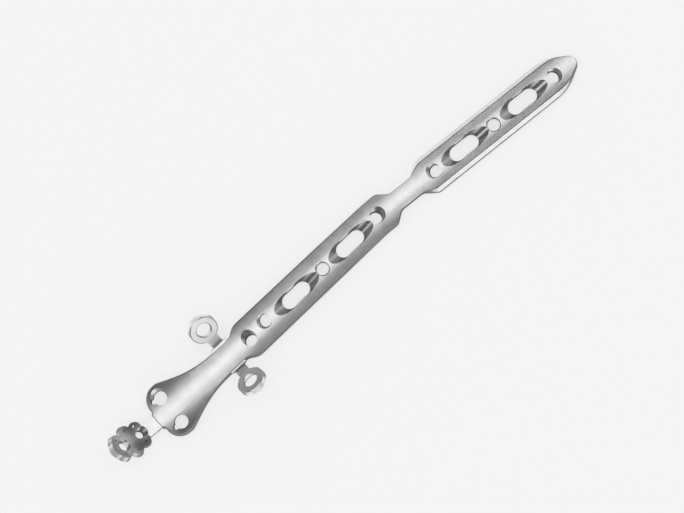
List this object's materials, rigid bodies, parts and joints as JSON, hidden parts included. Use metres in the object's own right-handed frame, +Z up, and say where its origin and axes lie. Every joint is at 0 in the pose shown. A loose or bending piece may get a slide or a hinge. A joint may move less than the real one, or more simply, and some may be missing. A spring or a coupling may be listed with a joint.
{
  "type": "bone plate",
  "caption": "Long curved metal bone plate with screw holes, slots, two side ring tabs and a curled lobed end, for fixing a broken bone with screws.",
  "frame": {"origin": "middle of the bounding box, at the height of the lowest line of the convex outer face, on which the plate lies", "axes": "+X from the curled end and the head to the pointed end, +Z up out of the bone side, +Y to the side of the first tab"},
  "size_m": [0.1824, 0.0294, 0.0099],
  "materials": {
    "plate_metal": "fine blasted and tumbled steel"
  },
  "bodies": {
    "root": {"bone_plate": "plate_metal"}
  },
  "joints": []
}
